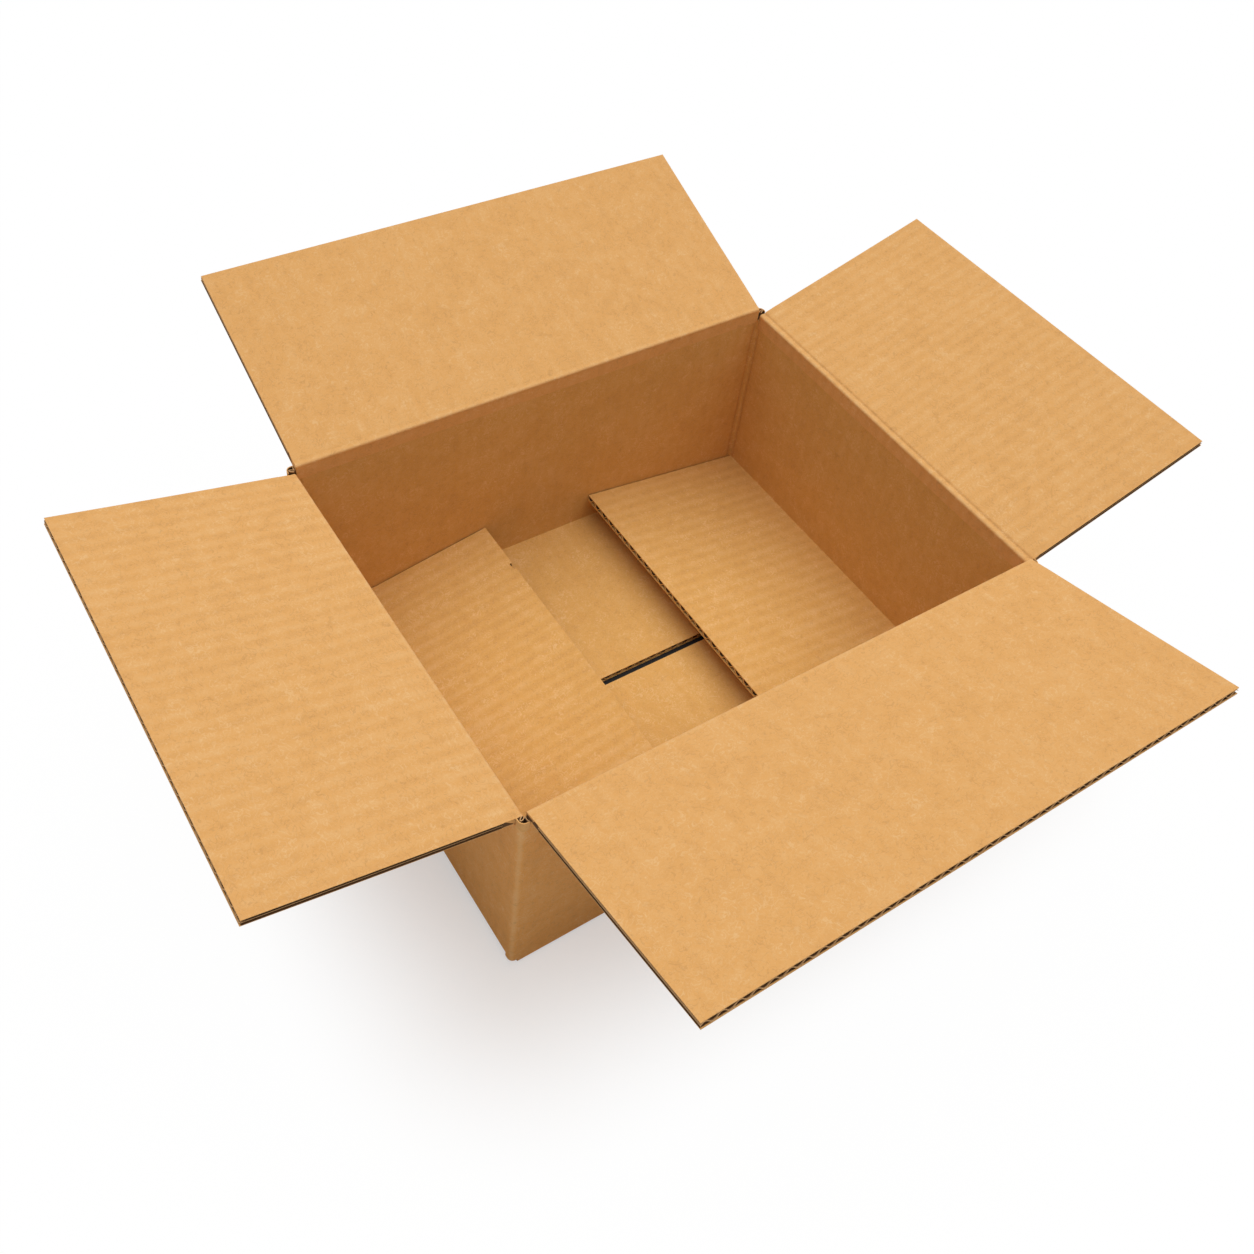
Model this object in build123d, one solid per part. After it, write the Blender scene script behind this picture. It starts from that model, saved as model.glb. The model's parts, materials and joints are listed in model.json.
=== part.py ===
"""Open corrugated carton: four walls folded from one sheet, bottom flaps shut, four top flaps folded back."""

from build123d import *
from math import ceil, cos, radians, sin, tan
import os

# Inside of the closed box, the size it is sold by
inner_length = 305.0
inner_width = 235.0
inner_height = 121.0

# Corrugated board: an outer and an inner liner with a wavy medium glued between them
board = 4.0
liner = 0.5
medium = 0.5
flute_pitch = 7.9
flute_crest = 1.6
flank_gap = 0.65

# Flaps: the slots that part them, the gap where two meet, and how far one layer clears the next
slot_width = 9.0
top_meeting_gap = 1.0
bottom_meeting_gap = 5.0
layer_clearance = 0.5

# Top creases: the crushed board on each side of a fold, and the round bead that it turns on
crease = 6.5
crease_bead = 0.45
crease_web = 0.5
crease_slit = 0.65
axis_outside = 0.15

# How far each top flap stands open, in degrees from upright
back_open_angle = 69.5
front_open_angle = 76.0
left_open_angle = 78.0
right_open_angle = 72.5

# Bottom flaps: the lift of the two inner ones, and how deep their open flutes are cut
left_lift_angle = 11.0
right_lift_angle = 7.5
bottom_flute_depth = 20.0
outer_fold_radius = 2.8
inner_fold_radius = 0.6

# A nick torn in the free edge of the left inner bottom flap
nick_depth = 1.6
nick_width = 5.0
nick_place = 82.0

# Glued lap inside the front right corner, and the seam it leaves outside
lap_width = 34.0
lap_thickness = 2.4
lap_bottom = 22.0
lap_top_clearance = 12.0
lap_bevel = 9.0
seam_width = 1.2
corner_radius = 3.0
inner_corner_radius = 0.8

outer_length = inner_length + 2 * board
outer_width = inner_width + 2 * board
floor_top = 2 * board + layer_clearance
major_axis_z = floor_top + inner_height
minor_axis_z = major_axis_z - board - layer_clearance
slot_inset = slot_width / 2
major_width = outer_length - 2 * slot_inset
minor_width = outer_width - 2 * slot_inset - layer_clearance
flap_length = outer_width / 2 + axis_outside - top_meeting_gap / 2
wall_tip = crease_bead + crease_slit
post_top = minor_axis_z - wall_tip

# The sides in the order that quarter turns about Z reach them
sides = ["back", "left", "front", "right"]


def at_side(side, reach, height):
    """Place of a side's fold frame: X along the fold, Y out of the box, Z up."""
    return Rot(0, 0, 90 * sides.index(side)) * Pos(0, reach, height)


def upright(points):
    """A face in the plane across a fold, from (outwards, upwards) points."""
    return Plane.YZ * Polygon(*points, align=None)


def flute_channel(centre, foot, tip):
    """One open flute: wide where it meets a liner, narrow under the medium's crest."""
    wide = foot_half_width()
    narrow = flute_crest / 2
    low_side = [(centre - wide, foot), (centre + wide, foot)]
    high_side = [(centre + narrow, tip), (centre - narrow, tip)]
    return Polygon(*low_side, *high_side, align=None)


def channel_height():
    return board - 2 * liner - medium


def foot_half_width():
    """Half width of a flute at its liner, which leaves the medium its own thickness on both flanks."""
    lean = medium / channel_height()
    return (flute_pitch / 2 - flute_crest / 2 * (1 + lean) - flank_gap) / (1 - lean)


def flute_section(width):
    """Cut end of the board: both liners and the medium's wave, centred, with Y through the board."""
    half = board / 2
    height = channel_height()
    section = Rectangle(width, board)
    count = ceil(width / flute_pitch / 2) + 1
    channels = []
    for number in range(-count, count + 1):
        centre = number * flute_pitch
        if abs(centre) < width / 2 + foot_half_width():
            channels.append(flute_channel(centre, liner - half, liner - half + height))
        centre += flute_pitch / 2
        if abs(centre) < width / 2 + foot_half_width():
            channels.append(flute_channel(centre, half - liner, half - liner - height))
    return section - channels


def fluted_board(width, length):
    """A flat piece of board with its flutes running up and open at both ends."""
    return extrude(flute_section(width), amount=length)


def top_flap(width):
    """An upright flap in its hinge frame: round bead, crushed crease, then open-ended board."""
    inner_face = -(axis_outside + board)
    wedge = upright([(-axis_outside, 0), (-axis_outside, crease), (inner_face, crease), (-crease_bead, 0)])
    root = extrude(wedge, amount=width / 2, both=True)
    root += extrude(Plane.YZ * Circle(crease_bead), amount=width / 2, both=True)
    sheet = Pos(0, -axis_outside - board / 2, crease) * fluted_board(width, flap_length - crease)
    return root + sheet


def wall_lip(width):
    """Top of a wall in its hinge frame, crushed to a thin web under the bead."""
    inner_face = -(axis_outside + board)
    web_face = -(axis_outside + crease_web)
    outer_side = [(-axis_outside, -crease), (-axis_outside, -wall_tip)]
    inner_side = [(web_face, -wall_tip), (inner_face, -crease)]
    return extrude(upright(outer_side + inner_side), amount=width / 2, both=True)


def wall_notch(width):
    """The space above a wall between two slots, cleared for its lip."""
    return Pos(0, -board / 2, board * 2 - crease) * Box(width, board * 3, board * 4)


def fold_section(arm, lift):
    """Wall foot and bottom flap in the plane across their fold, with the outer corner at the origin."""
    turn = radians(lift)
    along = (-cos(turn), sin(turn))
    across = (sin(turn), cos(turn))
    end_low = (arm * along[0], arm * along[1])
    end_high = (end_low[0] + board * across[0], end_low[1] + board * across[1])
    inner_height_here = board * (cos(turn) + tan(turn) * (1 + sin(turn)))
    foot = board + outer_fold_radius + inner_height_here
    corner_points = [(0, 0), end_low, end_high, (-board, inner_height_here), (-board, foot), (0, foot)]
    section = Polygon(*corner_points, align=None)
    outer_corner = section.vertices().sort_by_distance((0, 0))[0]
    section = fillet(outer_corner, outer_fold_radius)
    inner_corner = section.vertices().sort_by_distance((-board, inner_height_here))[0]
    return Plane.YZ * fillet(inner_corner, inner_fold_radius)


def foot_notch(width):
    """The sharp bottom corner of the wall, cleared where a bottom flap folds in."""
    height = board + outer_fold_radius
    return Pos(0, -board / 2, 0) * Box(width, board * 3, height * 2)


def bottom_flap(width, length, lift):
    """A folded-in bottom flap with its wall's foot, and flutes open along the free edge."""
    plain = length - bottom_flute_depth
    folded = extrude(fold_section(plain, lift), amount=width / 2, both=True)
    tip = Rot(90 - lift, 0, 0) * Pos(0, board / 2, plain) * fluted_board(width, bottom_flute_depth)
    return folded + tip


def walls():
    """Four walls with rounded corners, slotted at the bottom so that only the long walls reach the floor."""
    outline = RectangleRounded(outer_length, outer_width, corner_radius)
    hollow = RectangleRounded(inner_length, inner_width, inner_corner_radius)
    ring = extrude(outline - hollow, amount=post_top)
    under_side_walls = board + layer_clearance
    side_relief = Box(slot_inset * 2, outer_width * 2, under_side_walls * 2)
    ring -= Pos(outer_length / 2, 0, 0) * side_relief
    ring -= Pos(-outer_length / 2, 0, 0) * side_relief
    return ring


def glued_lap():
    """Lap of the right wall, pressed thin and glued inside the front wall, with bevelled ends."""
    lap_top = minor_axis_z - crease - lap_top_clearance
    x_fold = inner_length / 2
    x_free = x_fold - lap_width
    face = -inner_width / 2
    outline = [
        (x_fold, lap_bottom),
        (x_fold, lap_top),
        (x_free, lap_top - lap_bevel),
        (x_free, lap_bottom + lap_bevel),
    ]
    lap = Plane.XZ * Polygon(*outline, align=None)
    return Pos(0, face, 0) * extrude(lap, amount=-lap_thickness)


def lap_seam():
    """Seam outside the front right corner, where the front wall's cut edge meets the folded lap."""
    x_seam = outer_length / 2 - board
    height = major_axis_z * 2
    return Pos(x_seam, -outer_width / 2, 0) * Box(seam_width, board, height)


def edge_nick(length, lift):
    """Small torn nick in a bottom flap's free edge."""
    return Rot(90 - lift, 0, 0) * Pos(nick_place, 0, length) * Box(nick_width, board * 3, nick_depth * 2)


def bottom_flaps():
    """Place, width and solid of the four bottom flaps: two outer ones on the floor, two inner ones lifted."""
    major_length = outer_width / 2 - bottom_meeting_gap / 2
    outer_flap = bottom_flap(major_width, major_length, 0)
    left_flap = bottom_flap(minor_width, flap_length, left_lift_angle) - edge_nick(flap_length, left_lift_angle)
    right_flap = bottom_flap(minor_width, flap_length, right_lift_angle)
    base = board + layer_clearance
    return [
        (at_side("back", outer_width / 2, 0), major_width, outer_flap),
        (at_side("front", outer_width / 2, 0), major_width, outer_flap),
        (at_side("left", outer_length / 2, base), minor_width, left_flap),
        (at_side("right", outer_length / 2, base), minor_width, right_flap),
    ]


def carton_body():
    """Walls, lap and bottom flaps, which are one sheet."""
    body = walls()
    for side, reach, width, height in fold_lines():
        body -= at_side(side, reach, height) * wall_notch(width)
        body += at_side(side, reach, height) * wall_lip(width)
    for place, width, flap in bottom_flaps():
        body -= place * foot_notch(width)
        body += place * flap
    body += glued_lap()
    return body - lap_seam()


def fold_lines():
    """Side, reach, width and height of the four top folds."""
    long_reach = outer_width / 2 + axis_outside
    short_reach = outer_length / 2 + axis_outside
    return [
        ("back", long_reach, major_width, major_axis_z),
        ("front", long_reach, major_width, major_axis_z),
        ("left", short_reach, minor_width, minor_axis_z),
        ("right", short_reach, minor_width, minor_axis_z),
    ]


def top_flaps():
    """The four top flaps, each turned to where it stands open."""
    open_angles = {"back": back_open_angle, "front": front_open_angle, "left": left_open_angle, "right": right_open_angle}
    flaps = {}
    for side, reach, width, height in fold_lines():
        turned = Rot(-open_angles[side], 0, 0) * top_flap(width)
        flaps[f"top_flap_{side}"] = at_side(side, reach, height) * turned
    return flaps


os.makedirs("parts", exist_ok=True)
pieces = {"carton_body": carton_body(), **top_flaps()}
for node, shape in pieces.items():
    export_step(shape, f"parts/{node}.step")
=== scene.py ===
"""Looks of an open corrugated carton: fluted top flaps, pressed folds, kraft paper and a small studio."""

import json
from math import cos, exp, pi, radians, sin, tan

import bpy
from bpy.props import FloatProperty, FloatVectorProperty, IntProperty, PointerProperty
from mathutils import Matrix, Vector


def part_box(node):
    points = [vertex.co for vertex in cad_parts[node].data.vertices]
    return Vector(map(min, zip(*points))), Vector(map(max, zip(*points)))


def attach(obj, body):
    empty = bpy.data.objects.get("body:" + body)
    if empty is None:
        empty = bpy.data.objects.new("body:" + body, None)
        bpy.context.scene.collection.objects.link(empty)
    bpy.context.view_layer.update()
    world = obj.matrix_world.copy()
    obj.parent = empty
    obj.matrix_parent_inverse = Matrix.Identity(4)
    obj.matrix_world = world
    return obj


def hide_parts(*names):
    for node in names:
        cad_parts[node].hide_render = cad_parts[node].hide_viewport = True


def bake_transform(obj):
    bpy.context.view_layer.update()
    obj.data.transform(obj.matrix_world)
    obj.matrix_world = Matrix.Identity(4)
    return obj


bl_info = {
    "name": "Open Carton Looks",
    "version": (1, 0, 0),
    "blender": (4, 5, 0),
    "location": "3D View > Sidebar > Carton",
    "description": "Builds the flutes, folds and kraft paper of an open corrugated carton",
    "category": "Object",
}

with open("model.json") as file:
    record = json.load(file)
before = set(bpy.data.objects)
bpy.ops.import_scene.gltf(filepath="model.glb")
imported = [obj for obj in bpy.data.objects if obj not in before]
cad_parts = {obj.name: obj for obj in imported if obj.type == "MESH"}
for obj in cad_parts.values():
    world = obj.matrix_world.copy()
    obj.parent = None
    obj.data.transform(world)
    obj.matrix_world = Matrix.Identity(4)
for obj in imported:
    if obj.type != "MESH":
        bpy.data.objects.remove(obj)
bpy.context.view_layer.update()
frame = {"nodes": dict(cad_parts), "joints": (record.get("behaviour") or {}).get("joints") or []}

# The sides in the order that quarter turns about Z reach them
SIDES = ("back", "left", "front", "right")
MAJOR_SIDES = ("back", "front")
PAPERS = ("kraft_long_flap", "kraft_left_flap", "kraft_right_flap")
PAPER_NAMES = {"back": PAPERS[0], "front": PAPERS[0], "left": PAPERS[1], "right": PAPERS[2]}

# The raised ridge of a fold, with the painted highlight along it, and the pressed line beside it, which is
# sunk and darkened with painted shade, in metres from the middle of the bend
RIDGE_HIGHLIGHT_PLACE = 0.0003
RIDGE_HIGHLIGHT_SPREAD = 0.0010
RIDGE_WIDTH = 0.0011
LINE_PLACE = 0.0030
LINE_SPREAD = 0.0008

# Distances from a cut: where the painted shade in the flutes starts to fade, where it is gone and the paper
# is pale, and where the painted shade in the bottom flaps' flutes starts
CUT_FADE = 0.0007
CUT_PALE = 0.0003
CUT_PAPER = 0.0004

# Thickness of a liner as it looks where a bottom flap is cut
CUT_LINER = 0.000585

# Shifts that keep one noise from looking like another
CLOUD_SHIFT = (3.1, 1.7, 0.4)
PATCH_SHIFT = (0.9, 5.3, 2.2)
DARK_SHIFT = (7.7, 0.6, 3.9)
FINE_SHIFT = (2.2, 8.1, 6.4)
GRAIN_SHIFT = (4.0, 4.0, 4.0)

PURE_WHITE = (1.0, 1.0, 1.0, 1.0)


def width_of(node, axis):
    """Length of a CAD node along one axis, in metres."""
    low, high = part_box(node)
    return high[axis] - low[axis]


def setting(label, about, *values, **kind):
    """A property of one number, or of several that belong together."""
    if len(values) == 1:
        return FloatProperty(name=label, description=about, default=values[0], **kind)
    return FloatVectorProperty(name=label, description=about, default=values, size=len(values), **kind)


def metres(label, about, *values):
    """A property of lengths in metres."""
    return setting(label, about, *values, unit="LENGTH", precision=5)


def degrees(label, about, *values):
    """A property of angles, given here in degrees."""
    return setting(label, about, *[radians(value) for value in values], unit="ROTATION")


def tint(label, about, *values):
    """A property of one colour."""
    return setting(label, about, *values, subtype="COLOR", min=0, max=1)


def step_count(label, about, value):
    """A property of a whole number of steps."""
    return IntProperty(name=label, description=about, default=value, min=2)


class CartonBoardSizes(bpy.types.PropertyGroup):
    """Sizes of the corrugated board and its folds."""

    board: metres("Board", "Thickness of the corrugated board", 0.004)
    liner: metres("Liner", "Thickness of each paper liner", 0.00045)
    medium: metres("Medium", "Thickness of the wavy paper", 0.0004)
    flute_pitch: metres("Flute Pitch", "From one flute to the next", 0.0079)
    crease: metres("Crease", "Crushed board on each side of a top fold", 0.0065)
    axis_outside: metres("Axis Outside", "How far a fold's axis lies outside the wall's outer face", 0.00015)
    flap_length: metres("Flap Length", "From a fold's axis to the flap's free edge", 0.12115)
    major_width: metres("Long Flap Width", "Width of the back and front flaps", width_of("top_flap_back", 0))
    minor_width: metres("Short Flap Width", "Width of left and right flaps", width_of("top_flap_left", 1))
    bottom_gap: metres("Bottom Gap", "Gap where the two outer bottom flaps meet", 0.005)
    layer_clearance: metres("Layer Clearance", "Gap between the bottom flaps' two layers", 0.0005)
    left_lift: degrees("Left Lift", "Rise of the left inner bottom flap", 11)
    right_lift: degrees("Right Lift", "Rise of the right inner bottom flap", 7.5)
    post_top: metres("Post Top", "Height of the solid corner between two slots", 0.1239)
    corner_top: metres("Corner Top", "Height of the cut flutes at a corner", 0.1300)
    corner_side: metres("Corner Side", "Width of a corner between two slots", 0.0044)
    corner_radius: metres("Corner Radius", "Rounding of the upright outer corners", 0.003)
    fold_radius: metres("Fold Radius", "Rounding of a fold on its stretched side", 0.0024)
    fold_bead: metres("Fold Bead", "Height of the ridge that creasing raises along a fold", 0.00035)
    fold_groove: metres(
        "Fold Groove", "Depth of the line beside the ridge, for back, left, front and right",
        0.00008, 0.00012, 0.00008, 0.0005
    )


class FlapForms(bpy.types.PropertyGroup):
    """How the four top flaps have moved out of true, each for back, left, front and right."""

    drift: metres("Drift", "Sideways drift of the free edge", 0.0002, 0.0004, 0.0004, 0.0004)
    twist: degrees("Twist", "Extra opening at one end, and less at the other", 0.02, 0.05, 0.04, 0.05)
    bow: metres("Bow", "Hollow between the fold and the free edge", 0.00015, 0.0002, 0.00015, 0.0002)


class CartonColours(bpy.types.PropertyGroup):
    """Colours of the paper."""

    liner: tint("Liner", "Kraft liner", 0.755, 0.394, 0.128)
    inside_liner: tint("Inside Liner", "Liner inside the carton", 0.690, 0.372, 0.104)
    outside_liner: tint("Outside Liner", "Liner outside the carton", 0.79, 0.372, 0.100)
    fibre_dark: tint("Dark Fibre", "Dark fibres in the liner", 0.50, 0.25, 0.085)
    fibre_light: tint("Light Fibre", "Pale fibres in the liner", 0.84, 0.55, 0.27)
    medium: tint("Medium", "Wavy paper between the liners", 0.66, 0.40, 0.19)
    # Painted shade inside the flutes and on the liners' inner faces
    flute_shade: tint("Hollow", "Dim paper inside the flutes", 0.115, 0.055, 0.020)


class PaperGrain(bpy.types.PropertyGroup):
    """Pattern of the paper: counts are for one metre, and strengths are shares of a colour."""

    mottle_count: setting("Mottle Count", "Blotches and clouds", 26.0, 150.0)
    mottle: setting("Mottle", "Strength of the blotches and the clouds", 0.42, 0.55)
    patch_count: setting("Patch Count", "Patches where pale fibres lie", 90.0)
    fibre_count: setting("Fibre Count", "Pale, dark and fine fibres", 280.0, 260.0, 560.0)
    fibre_width: setting("Fibre Width", "Width of pale, dark and fine fibres", 0.04, 0.035, 0.05)
    fibres: setting("Fibres", "Strength of pale, dark and fine fibres", 0.55, 0.40, 0.25)
    speck_count: setting("Speck Count", "Cells, a few of which hold a speck", 260.0)
    speck_size: setting("Speck Size", "Reach of pale and dark specks in their cells", 0.18, 0.16)
    speck_share: setting("Speck Share", "Share of cells with a pale or a dark speck", 0.06, 0.10)
    specks: setting("Specks", "Strength of pale and dark specks", 0.5, 0.38)
    relief_count: setting("Relief Count", "Fibres, grains and slow waves", 900.0, 240.0, 14.0)
    relief: metres("Relief", "Height of the fibres, grains and slow waves", 0.00004, 0.00005, 0.0012)
    flap_stripes: setting("Flap Stripes", "Stripes on long, left and right flaps", 0.03, 0.10, 0.09)
    flap_ripple: metres("Flap Ripple", "Height of the stripes on these flaps", 0.00004, 0.00010, 0.00009)
    # Painted shade in the pressed line beside the fold
    flap_line_shade: setting("Flap Lines", "Shade of the line beside the fold of these flaps", 0.04, 0.06, 0.34)
    body_stripes: setting("Body Stripes", "Strength of the stripes on the inner bottom flaps", 0.08)
    body_ripple: metres("Body Ripple", "Height of the stripes on the inner bottom flaps", 0.00007)
    cut_grain: setting("Cut Grain", "Grains in a cut edge", 700.0)


class MeshSteps(bpy.types.PropertyGroup):
    """How finely the meshes are divided."""

    flap_across: step_count("Across a Flap", "Points across a flap's liners", 60)
    flap_along: step_count("Along a Flap", "Points along a flap", 24)
    per_flute: step_count("A Flute", "Points across one flute", 14)
    round_fold: step_count("Round a Fold", "Steps round a fold's bend", 44)
    along_fold: step_count("Along a Fold", "Steps along a fold", 60)
    round_corner: step_count("Round a Corner", "Steps of a corner's liner", 10)
    round_wave: step_count("Round a Wave", "Steps of a corner's medium", 36)


class StudioSettings(bpy.types.PropertyGroup):
    """Camera, floor and light of the small studio."""

    azimuth: degrees("Azimuth", "Camera's turn from the front", -39.165)
    elevation: degrees("Elevation", "Camera's height angle", 45.625)
    roll: degrees("Roll", "Camera's tilt about its view", 8.161)
    place: metres("Place", "Camera's place", -0.32389, -0.36763, 0.62371)
    lens: setting("Lens", "Focal length", 38.41, unit="CAMERA")
    sensor: setting("Sensor", "Width of the camera's sensor", 36.0, unit="CAMERA")
    shift: setting("Shift", "Upward shift of the picture", -0.0853)
    lamp: setting("Lamp", "Strength of the soft light from overhead", 2.42)
    lamp_spread: degrees("Lamp Spread", "How wide the overhead light is", 84)
    lamp_place: metres("Lamp Place", "Where the overhead light shines from", 0.13, 0.09, 1.5)
    sky: setting("Sky", "Strength of the light from all round", 0.245)
    floor_half: metres("Floor Half", "Half the floor's side", 6.0)
    floor_drop: metres("Floor Drop", "How far the floor lies below the carton", 0.0004)
    bounce: setting("Bounce", "Grey of the floor for the light it throws back", 0.72)
    # Painted shade: the floor under the carton is painted dark, so the gaps between the bottom flaps look
    # dark
    under: setting("Under", "Grey of the floor under the carton", 0.03)
    # The glow share rises from near to far: a painted shadow on the floor around the carton
    near_glow: setting("Near Glow", "Share of plain white in the floor beside the walls", 0.46)
    far_glow: setting("Far Glow", "Share of plain white in the floor away from the carton", 0.98)
    shadow_reach: metres("Shadow Reach", "How far from the walls the floor turns white", 0.110)


class Signal:
    """One output of a node, which takes part in Python sums."""

    def __init__(self, tree, socket):
        self.tree = tree
        self.socket = socket

    def sum(self, operation, *values, clamp=False):
        """The result of one Math node."""
        return add_node(self.tree, "ShaderNodeMath", {"operation": operation, "use_clamp": clamp}, values)

    def __add__(self, other):
        return self.sum("ADD", self, other)

    def __radd__(self, other):
        return self.sum("ADD", other, self)

    def __sub__(self, other):
        return self.sum("SUBTRACT", self, other)

    def __rsub__(self, other):
        return self.sum("SUBTRACT", other, self)

    def __mul__(self, other):
        return self.sum("MULTIPLY", self, other)

    def __rmul__(self, other):
        return self.sum("MULTIPLY", other, self)

    def __truediv__(self, other):
        return self.sum("DIVIDE", self, other)

    def __abs__(self):
        return self.sum("ABSOLUTE", self)

    def __neg__(self):
        return self.sum("MULTIPLY", self, -1.0)

    def cosine(self):
        """The cosine of an angle in radians."""
        return self.sum("COSINE", self)

    def root(self):
        """The square root."""
        return self.sum("SQRT", self)

    def larger(self, other):
        """The larger of two values."""
        return self.sum("MAXIMUM", self, other)

    def greater(self, other):
        """1 where this is more than the other value, and 0 elsewhere."""
        return self.sum("GREATER_THAN", self, other)

    def clamped(self):
        """The value kept between 0 and 1."""
        return self.sum("ADD", self, 0.0, clamp=True)

    def bell(self, centre, spread):
        """A smooth bump of height 1 at centre."""
        away = (self - centre) / spread
        return self.sum("EXPONENT", -(away * away))

    def step(self, low, high):
        """A smooth rise from 0 at low to 1 at high."""
        settings = {"interpolation_type": "SMOOTHSTEP"}
        values = {"Value": self, "From Min": low, "From Max": high}
        return add_node(self.tree, "ShaderNodeMapRange", settings, values)


def set_input(tree, socket, value):
    """Links a signal to a socket, or sets the socket's own value."""
    if isinstance(value, Signal):
        tree.links.new(value.socket, socket)
    elif isinstance(value, bpy.types.NodeSocket):
        tree.links.new(value, socket)
    else:
        socket.default_value = value


def add_node(tree, kind, settings=None, values=None, output=0):
    """Adds a node with its settings and its sockets, by place or by name, and gives one output."""
    node = tree.nodes.new(kind)
    for name, value in (settings or {}).items():
        setattr(node, name, value)
    if isinstance(values, dict):
        for name, value in values.items():
            set_input(tree, node.inputs[name], value)
    else:
        for place, value in enumerate(values or ()):
            set_input(tree, node.inputs[place], value)
    if not node.outputs:
        return node
    return Signal(tree, node.outputs[output])


def colour_of(values):
    """A colour property as a node socket wants it."""
    return (*values, 1.0)


def mix_colours(tree, share, first, second):
    """One colour laid over another."""
    node = tree.nodes.new("ShaderNodeMix")
    node.data_type = "RGBA"
    sockets = {socket.identifier: socket for socket in node.inputs}
    set_input(tree, sockets["Factor_Float"], share)
    set_input(tree, sockets["A_Color"], first)
    set_input(tree, sockets["B_Color"], second)
    result = next(socket for socket in node.outputs if socket.identifier == "Result_Color")
    return Signal(tree, result)


def noise(tree, place, scale, detail=2.0, distortion=0.0, roughness=0.5):
    """Soft noise from 0 to 1 with about this many blobs a metre."""
    values = {"Vector": place, "Scale": scale, "Detail": detail, "Roughness": roughness}
    return add_node(tree, "ShaderNodeTexNoise", {}, {**values, "Distortion": distortion})


def split(tree, place):
    """The three parts of a place."""
    node = add_node(tree, "ShaderNodeSeparateXYZ", {}, (place,)).socket.node
    return [Signal(tree, socket) for socket in node.outputs]


def moved(tree, place, offset):
    """A place shifted, so that two noises differ."""
    return add_node(tree, "ShaderNodeVectorMath", {"operation": "ADD"}, (place, offset))


def curly_lines(tree, place, grain, kind):
    """Thin curly lines, as fibres lie in paper: the places where a noise passes its middle."""
    wander = noise(tree, place, grain.fibre_count[kind], detail=1.0, distortion=1.2)
    middle = 0.5
    near = 1.0 - abs(wander - middle) / grain.fibre_width[kind]
    return near.clamped() * grain.fibres[kind]


def paper_colour(tree, place, stripe, tone, colours, liner=None):
    """Kraft liner: blotches, curly fibres, specks and the faint stripes of the flutes beneath."""
    grain = bpy.context.scene.carton_grain
    liner = liner or colour_of(colours.liner)
    dark = colour_of(colours.fibre_dark)
    light = colour_of(colours.fibre_light)
    blotch = noise(tree, place, grain.mottle_count[0], detail=4.0, roughness=0.6)
    cloud = noise(tree, moved(tree, place, CLOUD_SHIFT), grain.mottle_count[1], detail=3.0, roughness=0.6)
    mottle = (blotch - 0.5) * grain.mottle[0] + (cloud - 0.5) * grain.mottle[1]
    # tone brings the caller's painted highlights and painted shade; at the walls' outer corners it also
    # holds pale rubbing
    shade = mottle + stripe + tone
    paper = mix_colours(tree, shade.clamped(), liner, light)
    paper = mix_colours(tree, (-shade).clamped(), paper, dark)
    patch_edge = (0.42, 0.62)
    patches = noise(tree, moved(tree, place, PATCH_SHIFT), grain.patch_count, detail=1.0).step(*patch_edge)
    pale_lines = curly_lines(tree, place, grain, 0) * patches
    dark_lines = curly_lines(tree, moved(tree, place, DARK_SHIFT), grain, 1) * (1.0 - patches)
    fine_lines = curly_lines(tree, moved(tree, place, FINE_SHIFT), grain, 2)
    paper = mix_colours(tree, pale_lines, paper, light)
    paper = mix_colours(tree, dark_lines, paper, dark)
    paper = mix_colours(tree, fine_lines, paper, light)
    pale_speck, dark_speck = specks(tree, place, grain)
    paper = mix_colours(tree, pale_speck * grain.specks[0], paper, light)
    return mix_colours(tree, dark_speck * grain.specks[1], paper, dark)


def specks(tree, place, grain):
    """1 on small round specks in a few of the paper's cells: pale ones, and dark ones."""
    core = 0.05
    cells = {"Vector": place, "Scale": grain.speck_count}
    near_point = add_node(tree, "ShaderNodeTexVoronoi", {}, cells)
    cell_colour = add_node(tree, "ShaderNodeTexVoronoi", {}, cells, output=1)
    chance = add_node(tree, "ShaderNodeSeparateColor", {}, (cell_colour,))
    pale_cell = 1.0 - chance.greater(grain.speck_share[0])
    dark_cell = chance.greater(1.0 - grain.speck_share[1])
    pale = (1.0 - near_point.step(core, grain.speck_size[0])) * pale_cell
    dark = (1.0 - near_point.step(core, grain.speck_size[1])) * dark_cell
    return pale, dark


def paper_relief(tree, place, ripple):
    """Height of the liner's surface in metres: flutes beneath, fibres, grains and slow waves."""
    grain = bpy.context.scene.carton_grain
    fibre = noise(tree, place, grain.relief_count[0])
    lump = noise(tree, moved(tree, place, GRAIN_SHIFT), grain.relief_count[1])
    wander = noise(tree, place, grain.relief_count[2], detail=1.0)
    return ripple + fibre * grain.relief[0] + lump * grain.relief[1] + wander * grain.relief[2]


def kraft_shader(material, colour, relief, roughness=0.86):
    """Fills a material with one Principled shader and its bump."""
    tree = material.node_tree
    shader = tree.nodes["Principled BSDF"]
    shader.inputs["Roughness"].default_value = roughness
    shader.inputs["Specular IOR Level"].default_value = 0.25
    set_input(tree, shader.inputs["Base Color"], colour)
    if relief is not None:
        bump = {"Height": relief, "Strength": 1.0, "Distance": 1.0}
        set_input(tree, shader.inputs["Normal"], add_node(tree, "ShaderNodeBump", {}, bump))


def new_material(name):
    """A new material with its own node tree."""
    material = bpy.data.materials.new(name)
    material.use_nodes = True
    return material


def flute_stripe(across, pitch):
    """A wave from -1 to 1 that follows the flutes under the liner."""
    return (across * (2 * pi / pitch)).cosine()


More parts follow.
